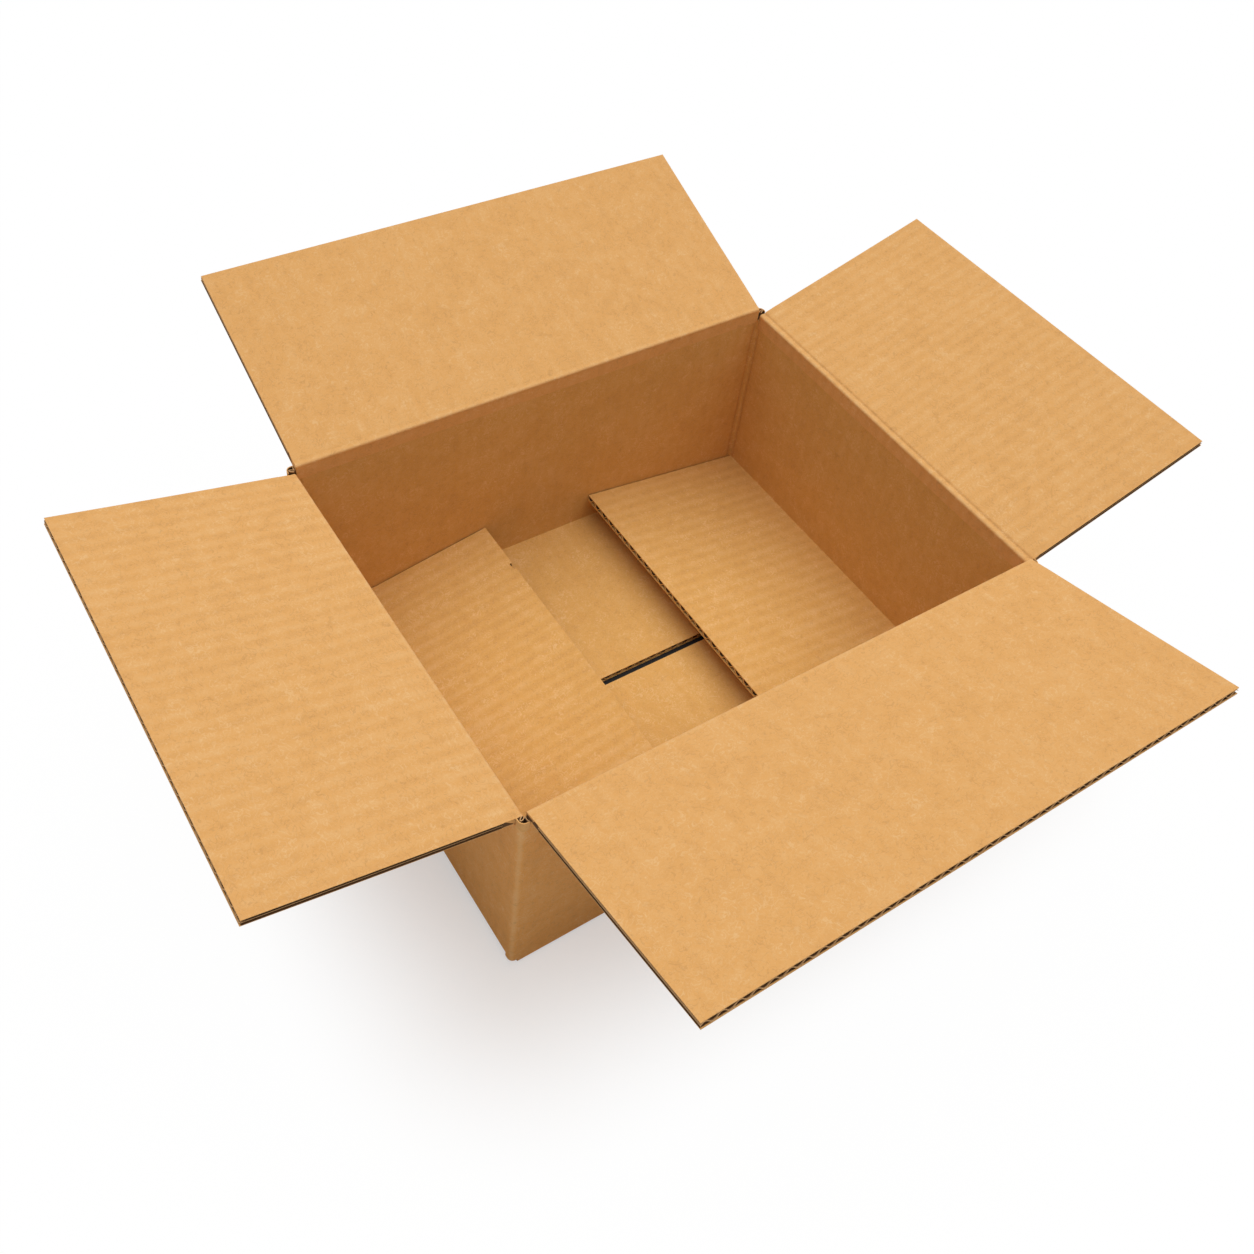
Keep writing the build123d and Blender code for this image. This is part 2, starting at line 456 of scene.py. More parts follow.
def sheet_paper(name, sizes, colours, stripe_share, stripe_height, line_shade):
    """Liner paper of a piece that carries its flat place as the attribute sheet."""
    material = new_material(name)
    tree = material.node_tree
    place = add_node(tree, "ShaderNodeAttribute", {"attribute_name": "sheet"}, output=1)
    across, along, height = split(tree, place)
    stripe = flute_stripe(across, sizes.flute_pitch)
    # Painted highlight along the fold's ridge, and painted shade in the pressed line beside it
    ridge_highlight = 0.22
    tone = along.bell(RIDGE_HIGHLIGHT_PLACE, RIDGE_HIGHLIGHT_SPREAD) * ridge_highlight
    tone = tone - along.bell(LINE_PLACE, LINE_SPREAD) * line_shade
    colour = paper_colour(tree, place, stripe * stripe_share, tone, colours)
    face = sizes.board / 2
    skin_share = 0.4
    # Painted shade on the liners' inner faces inside the board, up to the pale cut at the free edge
    between_liners = 1.0 - abs(height).step(face - sizes.liner, face - sizes.liner * skin_share)
    inside = between_liners * away_from_cut(along, sizes)
    colour = mix_colours(tree, inside, colour, colour_of(colours.flute_shade))
    kraft_shader(material, colour, paper_relief(tree, place, stripe * stripe_height))
    return material


def away_from_cut(along, sizes):
    """1 inside the board, where the flutes get painted shade, and 0 on the last hair's breadth at the free
    edge, where the cut paper is pale.
    """
    return 1.0 - along.step(sizes.flap_length - CUT_FADE, sizes.flap_length - CUT_PALE)


def medium_paper(name, width, sizes, colours):
    """The wavy paper between the liners, darkened with painted shade inside the flutes, less near the flap's
    sides, and pale at the cuts.
    """
    # Near the flap's sides the painted shade of the flutes is lifted by side_share
    side_start, side_end, side_share = 0.0030, 0.0008, 0.75
    material = new_material(name)
    tree = material.node_tree
    place = add_node(tree, "ShaderNodeAttribute", {"attribute_name": "sheet"}, output=1)
    across, along = split(tree, place)[:2]
    in_shade = 1.0 - abs(across).step(width / 2 - side_start, width / 2 - side_end) * side_share
    grain = noise(tree, place, bpy.context.scene.carton_grain.cut_grain, detail=3.0)
    dark_share = 0.5
    cut = mix_colours(tree, grain * dark_share, colour_of(colours.medium), colour_of(colours.fibre_dark))
    colour = mix_colours(tree, away_from_cut(along, sizes) * in_shade, cut, colour_of(colours.flute_shade))
    kraft_shader(material, colour, None, roughness=0.9)
    return material


def body_paper(sizes, colours, grain):
    """Liner paper of the walls and the bottom flaps: flutes stand up in walls and run inwards in flaps."""
    wall_stripes, floor_stripes = 0.35, 1.1
    # Pale band at the outer corners: painted highlight together with rubbing
    wear_and_highlight_tone, wear_and_highlight_edge = 0.36, 0.3
    # Painted shade darkens the pressed lines in the inner corners; pressed_depth sinks them
    pressed_shade, pressed_depth = 0.30, 0.0003
    material = new_material("kraft_walls_and_floor")
    tree = material.node_tree
    place = add_node(tree, "ShaderNodeTexCoord", {}, output=3)
    facing = add_node(tree, "ShaderNodeTexCoord", {}, output=1)
    x, y, z = split(tree, place)
    nearly_square = 0.7
    above_outer_flaps = 0.0062
    square_to = [abs(part).greater(nearly_square) for part in split(tree, facing)]
    side_wall = square_to[0]
    inner_flap = z.greater(above_outer_flaps) * square_to[2]
    along_y = side_wall.larger(inner_flap)
    stripe_x = flute_stripe(x, sizes.flute_pitch)
    stripe_y = flute_stripe(y, sizes.flute_pitch)
    stripe = stripe_x * (1.0 - along_y) + stripe_y * along_y
    stripe = stripe * (inner_flap * floor_stripes + wall_stripes)
    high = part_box("carton_body")[1]
    wear_and_highlight = outer_corner(x, y, high)
    pressed = inner_corner(x, y, high, sizes)
    # Painted highlight with rubbing at the outer corners, and painted shade along the inner corners' pressed
    # lines
    tone = wear_and_highlight * wear_and_highlight * wear_and_highlight_tone - pressed * pressed_shade
    outside = abs(x).greater(high.x - sizes.liner).larger(abs(y).greater(high.y - sizes.liner))
    outside = outside.larger(wear_and_highlight.greater(wear_and_highlight_edge))
    liner = mix_colours(tree, outside, colour_of(colours.inside_liner), colour_of(colours.outside_liner))
    colour = paper_colour(tree, place, stripe * grain.body_stripes, tone, colours, liner)
    # Painted shade inside the open flutes at the bottom flaps' cut edges
    flute_shade = floor_flutes(x, y, z, high, sizes)
    colour = mix_colours(tree, flute_shade, colour, colour_of(colours.flute_shade))
    ripple = stripe * grain.body_ripple - pressed * pressed_depth
    kraft_shader(material, colour, paper_relief(tree, place, ripple))
    return material


def outer_corner(x, y, high):
    """1 along the four upright outer corners, where the paper is made pale: a painted highlight on the
    rounded corner, together with the stretched, rubbed liner.
    """
    full, none = 0.0006, 0.0036
    from_x = high.x - abs(x)
    from_y = high.y - abs(y)
    return (1.0 - from_x.step(full, none)) * (1.0 - from_y.step(full, none))


def inner_corner(x, y, high, sizes):
    """1 in the four upright inner corners, where the creasing has pressed the board: the paper is sunk there
    and darkened with painted shade.
    """
    line_place, line_spread = 0.0022, 0.0009
    on_wall, off_wall = 0.0002, 0.0006
    from_x = high.x - sizes.board - abs(x)
    from_y = high.y - sizes.board - abs(y)
    beside = abs(from_x).bell(line_place, line_spread) * (1.0 - abs(from_y).step(on_wall, off_wall))
    across = abs(from_y).bell(line_place, line_spread) * (1.0 - abs(from_x).step(on_wall, off_wall))
    return beside.larger(across)


def within(value, low, high):
    """1 where a value lies between two others."""
    return value.greater(low) * (1.0 - value.greater(high))


def floor_flutes(x, y, z, high, sizes):
    """1 inside the open flutes at the free edges of the bottom flaps, where painted shade goes, except on
    the cut itself.
    """
    reach, off_wall = 0.019, 0.0002
    depths = (CUT_LINER, sizes.board - CUT_LINER)
    gap = sizes.bottom_gap / 2
    outer = within(z, *depths) * within(abs(y), gap + CUT_PAPER, gap + reach)
    between_walls = 1.0 - abs(y).greater(sizes.minor_width / 2 + off_wall)
    left = lifted_flutes(x, z, sizes.left_lift, high, sizes, depths, reach)
    right = lifted_flutes(-x, z, sizes.right_lift, high, sizes, depths, reach)
    return outer.larger(left.larger(right) * between_walls)


def lifted_flutes(x, z, lift, high, sizes, depths, reach):
    """The same for an inner bottom flap, which rises from its fold."""
    out = x + high.x
    up = z - (sizes.board + sizes.layer_clearance)
    along = out * cos(lift) + up * sin(lift)
    depth = up * cos(lift) - out * sin(lift)
    tip = sizes.flap_length
    return within(depth, *depths) * within(along, tip - reach, tip - CUT_PAPER)


class BoardTree:
    """Geometry nodes of one flat piece of corrugated board: two liners with a wave of paper between."""

    def __init__(self, name):
        self.tree = bpy.data.node_groups.new(name, "GeometryNodeTree")
        self.inputs = {}
        self.tree.interface.new_socket("Geometry", in_out="OUTPUT", socket_type="NodeSocketGeometry")
        self.entry = None

    def number(self, name, kind="NodeSocketFloat"):
        """Adds a named input of the tree."""
        socket = self.tree.interface.new_socket(name, in_out="INPUT", socket_type=kind)
        self.inputs[name] = socket.identifier

    def read(self, name):
        """A named input as a signal."""
        if self.entry is None:
            self.entry = self.tree.nodes.new("NodeGroupInput")
        return Signal(self.tree, self.entry.outputs[name])

    def node(self, kind, settings=None, values=None, output=0):
        """Adds a node to this tree and gives one output as a signal."""
        return add_node(self.tree, kind, settings, values, output)


def build_board_tree():
    """Makes the tree of flat corrugated board, with its flutes running along Y."""
    board = BoardTree("corrugated_board")
    for name in ("Width", "Length", "Board", "Liner", "Medium", "Flute Pitch"):
        board.number(name)
    for name in ("Steps Across", "Steps Along", "Wave Steps"):
        board.number(name, "NodeSocketInt")
    board.number("Liner Paper", "NodeSocketMaterial")
    board.number("Medium Paper", "NodeSocketMaterial")
    width, length, liner = board.read("Width"), board.read("Length"), board.read("Liner")
    thickness, medium, pitch = board.read("Board"), board.read("Medium"), board.read("Flute Pitch")

    size = board.node("ShaderNodeCombineXYZ", {}, (width, length, liner))
    cube = {"Size": size, "Vertices X": board.read("Steps Across"), "Vertices Y": board.read("Steps Along")}
    sheet = board.node("GeometryNodeMeshCube", {}, cube)
    rise = thickness * 0.5 - liner * 0.5
    upper = board.node("ShaderNodeCombineXYZ", {}, (0.0, length * 0.5, rise))
    lower = board.node("ShaderNodeCombineXYZ", {}, (0.0, length * 0.5, -rise))
    upper_liner = board.node("GeometryNodeTransform", {}, {"Geometry": sheet, "Translation": upper})
    lower_liner = board.node("GeometryNodeTransform", {}, {"Geometry": sheet, "Translation": lower})

    wave_size = board.node("ShaderNodeCombineXYZ", {}, (width, length, medium))
    wave_cube = {"Size": wave_size, "Vertices X": board.read("Wave Steps"), "Vertices Y": cube["Vertices Y"]}
    flat_medium = board.node("GeometryNodeMeshCube", {}, wave_cube)
    place = board.node("GeometryNodeInputPosition")
    across = board.node("ShaderNodeSeparateXYZ", {}, (place,))
    reach = thickness * 0.5 - liner - medium * 0.5
    height = (across * (2 * pi) / pitch).cosine() * reach
    offset = board.node("ShaderNodeCombineXYZ", {}, (0.0, length * 0.5, height))
    wave = board.node("GeometryNodeSetPosition", {}, {"Geometry": flat_medium, "Offset": offset})
    mark = {"Geometry": wave, "Name": "wavy", "Value": True}
    wave = board.node("GeometryNodeStoreNamedAttribute", {"data_type": "BOOLEAN", "domain": "FACE"}, mark)

    join = board.tree.nodes.new("GeometryNodeJoinGeometry")
    for part in (upper_liner, lower_liner, wave):
        board.tree.links.new(part.socket, join.inputs[0])
    whole = board.node("GeometryNodeRealizeInstances", {}, (Signal(board.tree, join.outputs[0]),))
    papered = {"Geometry": whole, "Material": board.read("Liner Paper")}
    whole = board.node("GeometryNodeSetMaterial", {}, papered)
    wavy = board.node("GeometryNodeInputNamedAttribute", {"data_type": "BOOLEAN"}, {"Name": "wavy"})
    finish = {"Geometry": whole, "Selection": wavy, "Material": board.read("Medium Paper")}
    whole = board.node("GeometryNodeSetMaterial", {}, finish)
    leave = board.tree.nodes.new("NodeGroupOutput")
    board.tree.links.new(whole.socket, leave.inputs[0])
    return board


def corrugated_board(board_tree, name, values):
    """A flat mesh of corrugated board from the tree, with its inputs set by name."""
    carrier = bpy.data.objects.new(name, bpy.data.meshes.new(name + "_start"))
    bpy.context.scene.collection.objects.link(carrier)
    modifier = carrier.modifiers.new("board", "NODES")
    modifier.node_group = board_tree.tree
    for label, value in values.items():
        modifier[board_tree.inputs[label]] = value
    seen = carrier.evaluated_get(bpy.context.evaluated_depsgraph_get())
    mesh = bpy.data.meshes.new_from_object(seen)
    bpy.data.objects.remove(carrier)
    if not mesh.polygons:
        raise RuntimeError(f"The board for {name} came out empty")
    mesh.name = name
    return mesh


def remember_flat_place(mesh, points):
    """Keeps each point's place on the flat sheet, which the paper's pattern follows."""
    attribute = mesh.attributes.get("sheet") or mesh.attributes.new("sheet", "FLOAT_VECTOR", "POINT")
    attribute.data.foreach_set("vector", [value for point in points for value in point])


def joint_of(side):
    """The hinge of one side's top flap."""
    return next(joint for joint in frame["joints"] if joint["child"] == f"top_flap_{side}")


def fold_place(side):
    """Matrix of a top fold's own axes: X along the fold, Y out of the box, Z up."""
    turn = Matrix.Rotation(pi / 2 * SIDES.index(side), 4, "Z")
    return Matrix.Translation(joint_of(side)["pos_m"]) @ turn


def opening_of(side):
    """How far a flap stands open from upright: its joint stops at half a turn."""
    return pi - radians(joint_of(side)["range_deg"][1])


def flap_place(side):
    """Matrix from a flap standing upright on its fold to the flap standing open."""
    return fold_place(side) @ Matrix.Rotation(-opening_of(side), 4, "X")


def width_at(side, sizes):
    """Width of one side's top flap."""
    return sizes.major_width if side in MAJOR_SIDES else sizes.minor_width


def bar_mesh(name, outline, flat_outline, stations):
    """A closed bar: an outline across a fold, carried along it."""
    count = len(outline)
    points = [(x, y, z) for x in stations for y, z in outline]
    flat = [(x, along, height) for x in stations for along, height in flat_outline]
    faces = [tuple(range(count))]
    for station in range(len(stations) - 1):
        base = station * count
        for corner in range(count):
            after = (corner + 1) % count
            faces.append((base + corner, base + count + corner, base + count + after, base + after))
    last = (len(stations) - 1) * count
    faces.append(tuple(last + corner for corner in reversed(range(count))))
    mesh = bpy.data.meshes.new(name)
    mesh.from_pydata(points, [], faces)
    remember_flat_place(mesh, flat)
    return mesh


def stations_along(width, count):
    """Even places along a fold of this width, centred."""
    return [width * (number / count - 0.5) for number in range(count + 1)]


def bend_lengths(sizes, opened):
    """Length of each straight part of a fold's stretched skin, and of the bend between them."""
    face = sizes.axis_outside + sizes.board
    return sizes.crease + (face - sizes.fold_radius) * tan(opened / 2), sizes.fold_radius * opened


def bent_skin(sizes, opened, travel):
    """A point on a fold's stretched skin, and how far the skin has turned there from upright."""
    face = sizes.axis_outside + sizes.board
    radius = sizes.fold_radius
    straight, arc = bend_lengths(sizes, opened)
    if travel <= straight:
        return Vector((-face, travel - sizes.crease)), 0.0
    if travel <= straight + arc:
        angle = (travel - straight) / radius
        centre = Vector((radius - face, straight - sizes.crease))
        return centre + radius * Vector((-cos(angle), sin(angle))), angle
    upright_end = (-face, sizes.crease)
    end = Vector((
        upright_end[0] * cos(opened) + upright_end[1] * sin(opened),
        upright_end[1] * cos(opened) - upright_end[0] * sin(opened),
    ))
    left_over = straight * 2 + arc - travel
    return end - left_over * Vector((sin(opened), cos(opened))), opened


def fold_outline(sizes, opened, groove, steps):
    """The outline across a top fold at rest, and where each point lies on the flat sheet."""
    straight, arc = bend_lengths(sizes, opened)
    total = straight * 2 + arc
    outline, flat = [], []
    for number in range(steps + 1):
        travel = total * number / steps
        spot, angle = bent_skin(sizes, opened, travel)
        from_middle = travel - total / 2
        swell = sizes.fold_bead * exp(-(from_middle / RIDGE_WIDTH) ** 2)
        swell -= groove * exp(-((from_middle - LINE_PLACE) / LINE_SPREAD) ** 2)
        spot += swell * Vector((-cos(angle), sin(angle)))
        outline.append((spot.x, spot.y))
        flat.append((from_middle, sizes.board / 2))
    first, last = Vector(outline[0]), Vector(outline[-1])
    root = Vector((-0.00025, -0.0001))
    outer_skin = (sizes.crease, sizes.board / 2)
    inside = (0.0, 0.0)
    # Each point's start, its share of the way to the root, and the flat place that colours it; the inside
    # place takes the painted shade of the flutes
    towards_root = ((last, 0.4, inside), (last, 0.75, outer_skin), (last, 1.0, outer_skin))
    away_from_root = ((first, 0.65, outer_skin), (first, 0.3, inside))
    for start, share, place in towards_root + away_from_root:
        spot = start.lerp(root, share)
        outline.append((spot.x, spot.y))
        flat.append(place)
    return outline, flat


def finish_piece(name, mesh, body=None, replaced=None):
    """Links a finished mesh as a piece of the carton."""
    piece = bpy.data.objects.new(name, mesh)
    bpy.context.scene.collection.objects.link(piece)
    if body:
        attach(piece, body)
    if replaced:
        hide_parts(replaced)
    return piece


def join_meshes(name, meshes):
    """Several meshes as one, with their materials and flat places kept."""
    pieces = []
    for mesh in meshes:
        piece = bpy.data.objects.new(name, mesh)
        bpy.context.scene.collection.objects.link(piece)
        pieces.append(piece)
    with bpy.context.temp_override(active_object=pieces[0], selected_editable_objects=pieces):
        bpy.ops.object.join()
    joined = pieces[0].data
    bpy.data.objects.remove(pieces[0])
    joined.name = name
    return joined


class CARTON_OT_top_flaps(bpy.types.Operator):
    """Make the four top flaps of fluted board"""

    bl_idname = "carton.top_flaps"
    bl_label = "Top Flaps"

    def execute(self, context):
        """Makes the papers first, then one flap on each side."""
        sizes = context.scene.carton_board
        colours = context.scene.carton_colours
        grain = context.scene.carton_grain
        board_tree = build_board_tree()
        long_medium = medium_paper("fluted_medium_long", sizes.major_width, sizes, colours)
        short_medium = medium_paper("fluted_medium_short", sizes.minor_width, sizes, colours)
        for number, name in enumerate(PAPERS):
            look = (grain.flap_stripes[number], grain.flap_ripple[number], grain.flap_line_shade[number])
            sheet_paper(name, sizes, colours, *look)
        for side in SIDES:
            medium = long_medium if side in MAJOR_SIDES else short_medium
            make_top_flap(board_tree, side, sizes, medium)
        return {"FINISHED"}


def make_top_flap(board_tree, side, sizes, medium):
    """One top flap: a crushed root at the fold, then fluted board to the free edge."""
    scene = bpy.context.scene
    steps = scene.carton_steps
    paper = bpy.data.materials[PAPER_NAMES[side]]
    width = width_at(side, sizes)
    values = {
        "Width": width,
        "Length": sizes.flap_length - sizes.crease,
        "Board": sizes.board,
        "Liner": sizes.liner,
        "Medium": sizes.medium,
        "Flute Pitch": sizes.flute_pitch,
        "Steps Across": steps.flap_across,
        "Steps Along": steps.flap_along,
        "Wave Steps": round(width / sizes.flute_pitch * steps.per_flute),
        "Liner Paper": paper,
        "Medium Paper": medium,
    }
    name = f"flap_{side}"
    sheet = corrugated_board(board_tree, name, values)
    middle = -sizes.axis_outside - sizes.board / 2
    flat = [(v.co.x, v.co.y + sizes.crease, v.co.z) for v in sheet.vertices]
    for vertex, place in zip(sheet.vertices, flat):
        x, along, height = handled_place(side, sizes, scene.carton_forms, place)
        vertex.co = (x, middle - height, along)
    remember_flat_place(sheet, flat)
    root = flap_root(name + "_root", width, sizes)
    root.materials.append(paper)
    mesh = join_meshes(name, [sheet, root])
    mesh.transform(flap_place(side))
    finish_piece(name, mesh, f"top_flap_{side}", f"top_flap_{side}")


def flap_root(name, width, sizes):
    """The crushed wedge between a flap's fold and its fluted board."""
    face = -sizes.axis_outside
    back = face - sizes.board
    pressed_share, sunk = 0.11, 0.0002
    outline = [(face, 0.0), (back * pressed_share, -sunk), (back, sizes.crease), (face, sizes.crease)]
    under = -sizes.board / 2
    # The point at height 0 lies inside the board, where the flutes' painted shade goes
    flat_outline = [(0.0, under), (0.0, under), (sizes.crease, 0.0), (sizes.crease, under)]
    return bar_mesh(name, outline, flat_outline, stations_along(width, 2))


def handled_place(side, sizes, forms, place):
    """A point of a flat flap after handling: it has drifted, twisted and bowed a little."""
    x, along, height = place
    number = SIDES.index(side)
    out = along - sizes.crease
    share = out / (sizes.flap_length - sizes.crease)
    across = 2 * x / width_at(side, sizes)
    height -= out * tan(forms.twist[number]) * across
    height -= forms.bow[number] * sin(pi * share)
    return x + forms.drift[number] * share, along, height


class CARTON_OT_folds(bpy.types.Operator):
    """Make the four pressed folds between the walls and the top flaps"""

    bl_idname = "carton.folds"
    bl_label = "Folds"

    def execute(self, context):
        """Makes one fold on each side, in the paper of its flap."""
        for side in SIDES:
            paper = bpy.data.materials.get(PAPER_NAMES[side])
            if paper is None:
                raise RuntimeError("The top flaps come first, because the folds share their paper")
            make_fold(side, context.scene.carton_board, context.scene.carton_steps, paper)
        return {"FINISHED"}


def make_fold(side, sizes, steps, paper):
    """The pressed fold between a wall and its top flap, bent as far as the flap stands open."""
    end_gap = 0.0002
    groove = sizes.fold_groove[SIDES.index(side)]
    outline, flat = fold_outline(sizes, opening_of(side), groove, steps.round_fold)
    name = f"fold_{side}"
    stations = stations_along(width_at(side, sizes) - end_gap, steps.along_fold)
    mesh = bar_mesh(name, outline, flat, stations)
    place = fold_place(side)
    mesh.transform(place)
    mesh.materials.append(paper)
    piece = finish_piece(name, mesh)
    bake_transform(piece)


def ribbon_mesh(name, path, thickness, low, high, sizes, left_height, right_height):
    """A thin strip of paper standing on edge along a path in plan; its top edge counts as a cut edge."""
    half = thickness / 2
    corners = 4
    points, flat = [], []
    travel = 0.0
    for number, spot in enumerate(path):
        before = path[max(number - 1, 0)]
        after = path[min(number + 1, len(path) - 1)]
        step = (after - before).normalized()
        side = Vector((-step.y, step.x)) * half
        travel += (spot - before).length
        left, right = (side, left_height), (-side, right_height)
        for (offset, height), up in ((left, low), (right, low), (right, high), (left, high)):
            points.append((spot.x + offset.x, spot.y + offset.y, up))
            flat.append((travel, sizes.flap_length - (high - up), height))
    faces = [(0, 1, 2, 3)]
    for number in range(len(path) - 1):
        base = number * corners
        for corner in range(corners):
            after = (corner + 1) % corners
            faces.append((base + corner, base + corners + corner, base + corners + after, base + after))
    last = (len(path) - 1) * corners
    faces.append((last + 3, last + 2, last + 1, last))
    mesh = bpy.data.meshes.new(name)
    mesh.from_pydata(points, [], faces)
    remember_flat_place(mesh, flat)
    return mesh


def corner_path(sizes, inset, steps):
    """The path of a liner round a corner, in plan, from one slot to the other; the corner is the origin."""
    smallest = 0.0004
    radius = max(sizes.corner_radius - inset, smallest)
    path = [Vector((sizes.corner_side, inset))]
    for number in range(steps + 1):
        angle = pi / 2 * number / steps
        path.append(Vector((inset + radius * (1 - sin(angle)), inset + radius * (1 - cos(angle)))))
    path.append(Vector((inset, sizes.corner_side)))
    return path


def wavy_corner_path(sizes, steps):
    """The path of the medium round a corner: a few waves squeezed between the liners."""
    middle = sizes.board / 2
    reach = middle - sizes.liner - sizes.medium / 2
    half_waves = 3
    path = []
    for number in range(steps + 1):
        share = number / steps
        angle = pi / 2 * share
        outwards = Vector((-sin(angle), -cos(angle)))
        centre = Vector((sizes.corner_side, sizes.corner_side))
        wave = reach * cos(half_waves * pi * share)
        path.append(centre + outwards * (sizes.corner_side - middle + wave))
    return path


class CARTON_OT_corner_flutes(bpy.types.Operator):
    """Make the cut flutes that show at the four top corners"""

    bl_idname = "carton.corner_flutes"
    bl_label = "Corner Flutes"

    def execute(self, context):
        """Makes the outer liner and the wavy paper of each corner, and joins them all."""
        sizes = context.scene.carton_board
        steps = context.scene.carton_steps
        liner_inset = sizes.liner / 2
        liner_path = corner_path(sizes, liner_inset, steps.round_corner)
        wave_path = wavy_corner_path(sizes, steps.round_wave)
        # Heights on the flat sheet: the liner's outer face keeps its paper colour, while its inner face and
        # the medium take the painted shade of the flutes, except at the cut top edge
        outer_face = (sizes.board / 2, 0.0)
        strips = (
            (liner_path, sizes.liner, outer_face, bpy.data.materials["kraft_left_flap"]),
            (wave_path, sizes.medium, (0.0, 0.0), bpy.data.materials["fluted_medium_long"]),
        )
        meshes = []
        for turn_x in (-1, 1):
            for turn_y in (-1, 1):
                for path, thickness, heights, paper in strips:
                    mesh = corner_strip(path, (turn_x, turn_y), thickness, sizes, heights)
                    mesh.materials.append(paper)
                    meshes.append(mesh)
        finish_piece("corner_flutes", join_meshes("corner_flutes", meshes), "carton_body")
        return {"FINISHED"}


def corner_strip(path, turns, thickness, sizes, heights):
    """One strip of paper at one corner; turns says on which side of the carton the corner is."""
    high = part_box("carton_body")[1]
    corner = Vector((high.x * turns[0], high.y * turns[1]))
    placed = [corner + Vector((-spot.x * turns[0], -spot.y * turns[1])) for spot in path]
    if turns[0] * turns[1] < 0:
        placed.reverse()
    sunk = 0.0002
    low = sizes.post_top - sunk
    return ribbon_mesh("corner_flutes", placed, thickness, low, sizes.corner_top, sizes, *heights)


class CARTON_OT_body_paper(bpy.types.Operator):
    """Give the walls and bottom flaps their paper"""

    bl_idname = "carton.body_paper"
    bl_label = "Body Paper"

    def execute(self, context):
        """Puts the paper on the solid's own mesh, which stays as it is."""
        scene = context.scene
        body = frame["nodes"].get("carton_body")
        if body is None:
            raise RuntimeError("The carton's body is not in the frame")
        paper = body_paper(scene.carton_board, scene.carton_colours, scene.carton_grain)
        for slot in body.material_slots:
            slot.material = paper
        if not body.material_slots:
            body.data.materials.append(paper)
        return {"FINISHED"}


class CARTON_OT_stage(bpy.types.Operator):
    """Set up the floor, the light and the camera"""

    bl_idname = "carton.stage"
    bl_label = "Stage"

    def execute(self, context):
        """Makes the three and sets the plain colour view."""
        studio = context.scene.carton_studio
        make_floor(studio)
        make_light(studio)
        make_camera(studio)
        context.scene.view_settings.view_transform = "Standard"
        return {"FINISHED"}


def make_floor(studio):
    """A plain white floor, lifted by a white glow where the camera sees it, with a painted shadow where the
    glow is weaker beside the walls, and painted shade under the carton, seen through the gaps.
    """
    mesh = bpy.data.meshes.new("studio_floor")
    half, below = studio.floor_half, -studio.floor_drop
    corners = [(-half, -half, below), (half, -half, below), (half, half, below), (-half, half, below)]
    mesh.from_pydata(corners, [], [(0, 1, 2, 3)])
    floor = bpy.data.objects.new("studio_floor", mesh)
    bpy.context.scene.collection.objects.link(floor)
    material = new_material("studio_floor")
    tree = material.node_tree
    shader = tree.nodes["Principled BSDF"]
    shader.inputs["Roughness"].default_value = 1.0
    shader.inputs["Specular IOR Level"].default_value = 0.0
    seen = add_node(tree, "ShaderNodeLightPath")
    place = add_node(tree, "ShaderNodeTexCoord", {}, output=3)
    under, far = floor_zones(*split(tree, place)[:2], studio)
    floor_colour = mix_colours(tree, seen, grey(studio.bounce), PURE_WHITE)
    # Painted shade under the carton
    floor_colour = mix_colours(tree, under, floor_colour, grey(studio.under))
    set_input(tree, shader.inputs["Base Color"], floor_colour)
    glow = add_node(tree, "ShaderNodeEmission", {}, {"Color": PURE_WHITE, "Strength": 1.0})
    # Painted shadow: less white glow beside the walls, and none under the carton
    share = seen * (1.0 - under) * (studio.near_glow + (studio.far_glow - studio.near_glow) * far)
    mix = add_node(tree, "ShaderNodeMixShader", {}, (share, Signal(tree, shader.outputs[0]), glow))
    tree.links.new(mix.socket, tree.nodes["Material Output"].inputs["Surface"])
    mesh.materials.append(material)


def floor_zones(x, y, studio):
    """1 on the floor under the carton, where the painted shade goes, and a smooth rise from 0 at its walls
    to 1 away from them, over which the painted shadow fades.
    """
    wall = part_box("carton_body")[1]
    inside_walls = -0.006
    beyond_x = abs(x) - wall.x
    beyond_y = abs(y) - wall.y
    under = (1.0 - beyond_x.greater(inside_walls)) * (1.0 - beyond_y.greater(inside_walls))
    gap_x = beyond_x.larger(0.0)
    gap_y = beyond_y.larger(0.0)
    distance = (gap_x * gap_x + gap_y * gap_y).root()
    return under, distance.step(0.0, studio.shadow_reach)


def grey(value):
    """A grey as a node socket wants it."""
    return (value, value, value, 1.0)


def make_light(studio):
    """An overhead soft lamp, and even light from all round."""
    lamp = bpy.data.lights.new("overhead_lamp", "SUN")
    lamp.energy = studio.lamp
    lamp.angle = studio.lamp_spread
    lamp_object = bpy.data.objects.new("overhead_lamp", lamp)
    lamp_object.location = studio.lamp_place
    lamp_object.rotation_euler = (-lamp_object.location).to_track_quat("-Z", "Y").to_euler()
    bpy.context.scene.collection.objects.link(lamp_object)
    world = bpy.data.worlds.new("studio_sky")
    world.use_nodes = True
    bpy.context.scene.world = world
    tree = world.node_tree
    sky = tree.nodes["Background"]
    sky.inputs["Color"].default_value = PURE_WHITE
    sky.inputs["Strength"].default_value = studio.sky
    seen = add_node(tree, "ShaderNodeBackground", {}, {"Color": PURE_WHITE, "Strength": 1.0})
    camera_ray = add_node(tree, "ShaderNodeLightPath")
    path = camera_ray.socket.node
    glossy = Signal(tree, path.outputs["Is Glossy Ray"])
    clear = Signal(tree, path.outputs["Is Transmission Ray"])
    shown = camera_ray.larger(glossy).larger(clear)
    mix = add_node(tree, "ShaderNodeMixShader", {}, (shown, Signal(tree, sky.outputs[0]), seen))
    tree.links.new(mix.socket, tree.nodes["World Output"].inputs["Surface"])


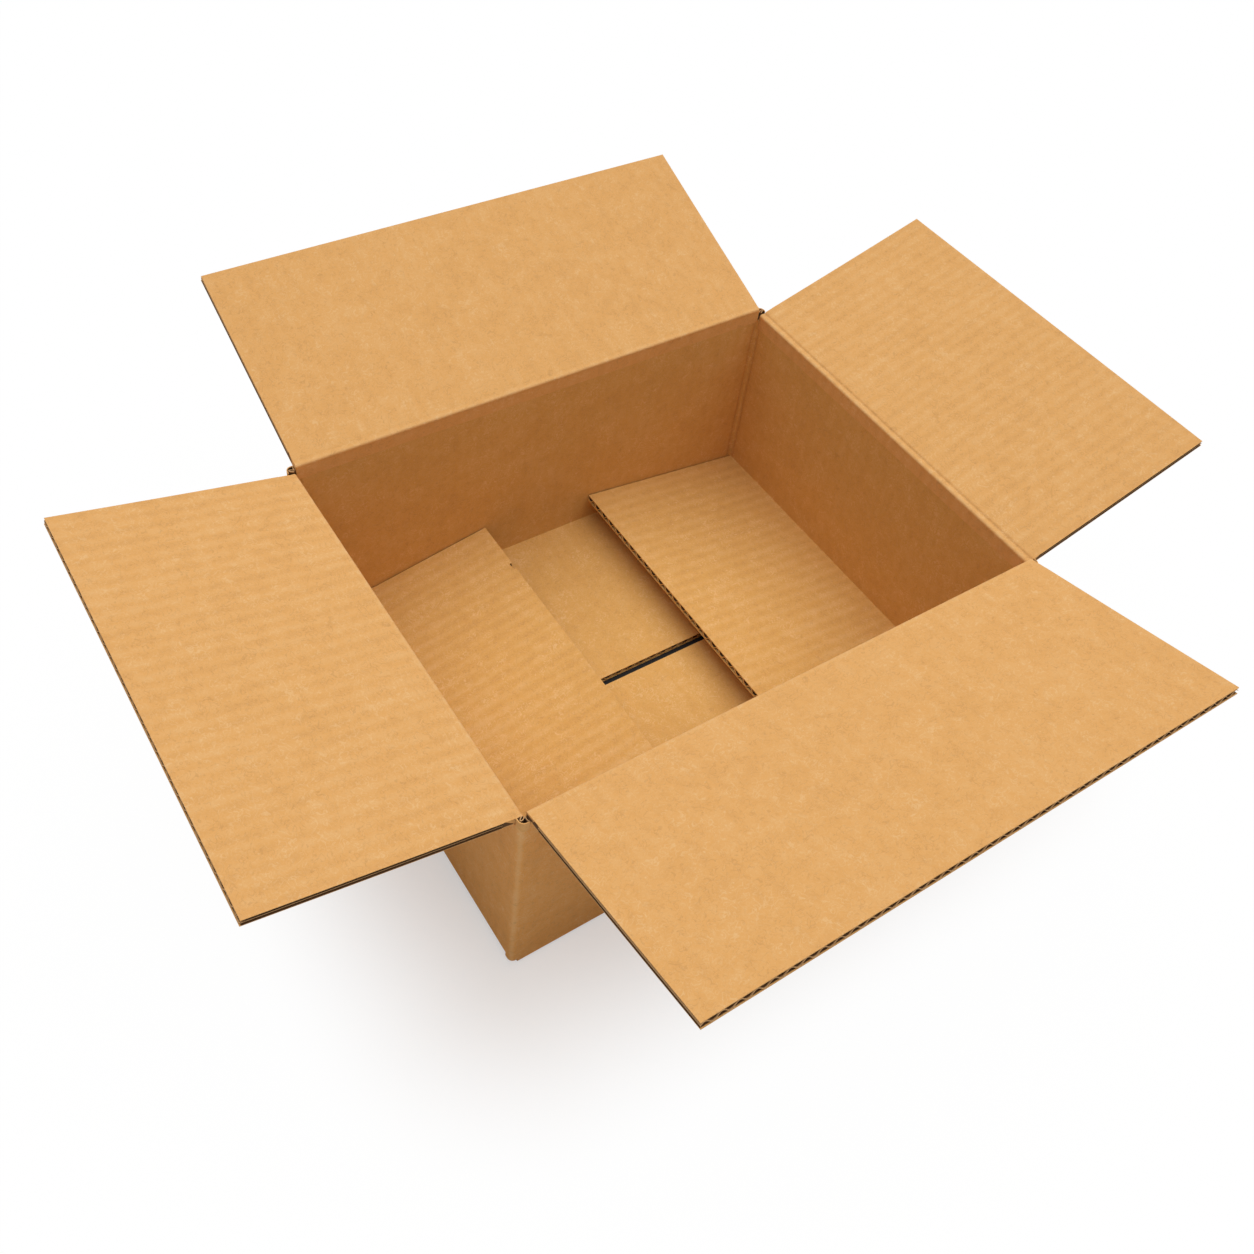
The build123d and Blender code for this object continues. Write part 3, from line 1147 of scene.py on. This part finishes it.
def make_camera(studio):
    """The camera, turned and rolled to the photograph's view."""
    data = bpy.data.cameras.new("camera")
    data.lens = studio.lens
    data.sensor_width = studio.sensor
    data.sensor_fit = "HORIZONTAL"
    data.shift_y = studio.shift
    data.clip_start = 0.01
    camera = bpy.data.objects.new("camera", data)
    turn, rise, roll = studio.azimuth, studio.elevation, studio.roll
    towards = Vector((-cos(rise) * sin(turn), cos(rise) * cos(turn), -sin(rise)))
    level = towards.cross(Vector((0.0, 0.0, 1.0))).normalized()
    upward = level.cross(towards)
    across = level * cos(roll) + upward * sin(roll)
    up = upward * cos(roll) - level * sin(roll)
    turned = Matrix((across, up, -towards)).transposed().to_4x4()
    camera.matrix_world = Matrix.Translation(studio.place) @ turned
    bpy.context.scene.collection.objects.link(camera)
    bpy.context.scene.camera = camera


class CARTON_PT_looks(bpy.types.Panel):
    """Lists the steps that dress the carton"""

    bl_label = "Carton"
    bl_idname = "CARTON_PT_looks"
    bl_space_type = "VIEW_3D"
    bl_region_type = "UI"
    bl_category = "Carton"

    def draw(self, context):
        """Shows one button a step."""
        for step in STEPS:
            self.layout.operator(step.bl_idname)


STEPS = (
    CARTON_OT_stage, CARTON_OT_body_paper, CARTON_OT_top_flaps, CARTON_OT_folds, CARTON_OT_corner_flutes
)
SETTINGS = {
    "carton_board": CartonBoardSizes,
    "carton_forms": FlapForms,
    "carton_colours": CartonColours,
    "carton_grain": PaperGrain,
    "carton_steps": MeshSteps,
    "carton_studio": StudioSettings,
}
CLASSES = (*SETTINGS.values(), *STEPS, CARTON_PT_looks)


def register():
    """Adds the settings, the steps and the panel to Blender."""
    for item in CLASSES:
        bpy.utils.register_class(item)
    for name, group in SETTINGS.items():
        setattr(bpy.types.Scene, name, PointerProperty(type=group))


def unregister():
    """Takes them out again."""
    for name in SETTINGS:
        delattr(bpy.types.Scene, name)
    for item in reversed(CLASSES):
        bpy.utils.unregister_class(item)


def main():
    """Dresses the carton step by step."""
    register()
    bpy.ops.carton.stage()
    bpy.ops.carton.body_paper()
    bpy.ops.carton.top_flaps()
    bpy.ops.carton.folds()
    bpy.ops.carton.corner_flutes()


if __name__ == "__main__":
    main()
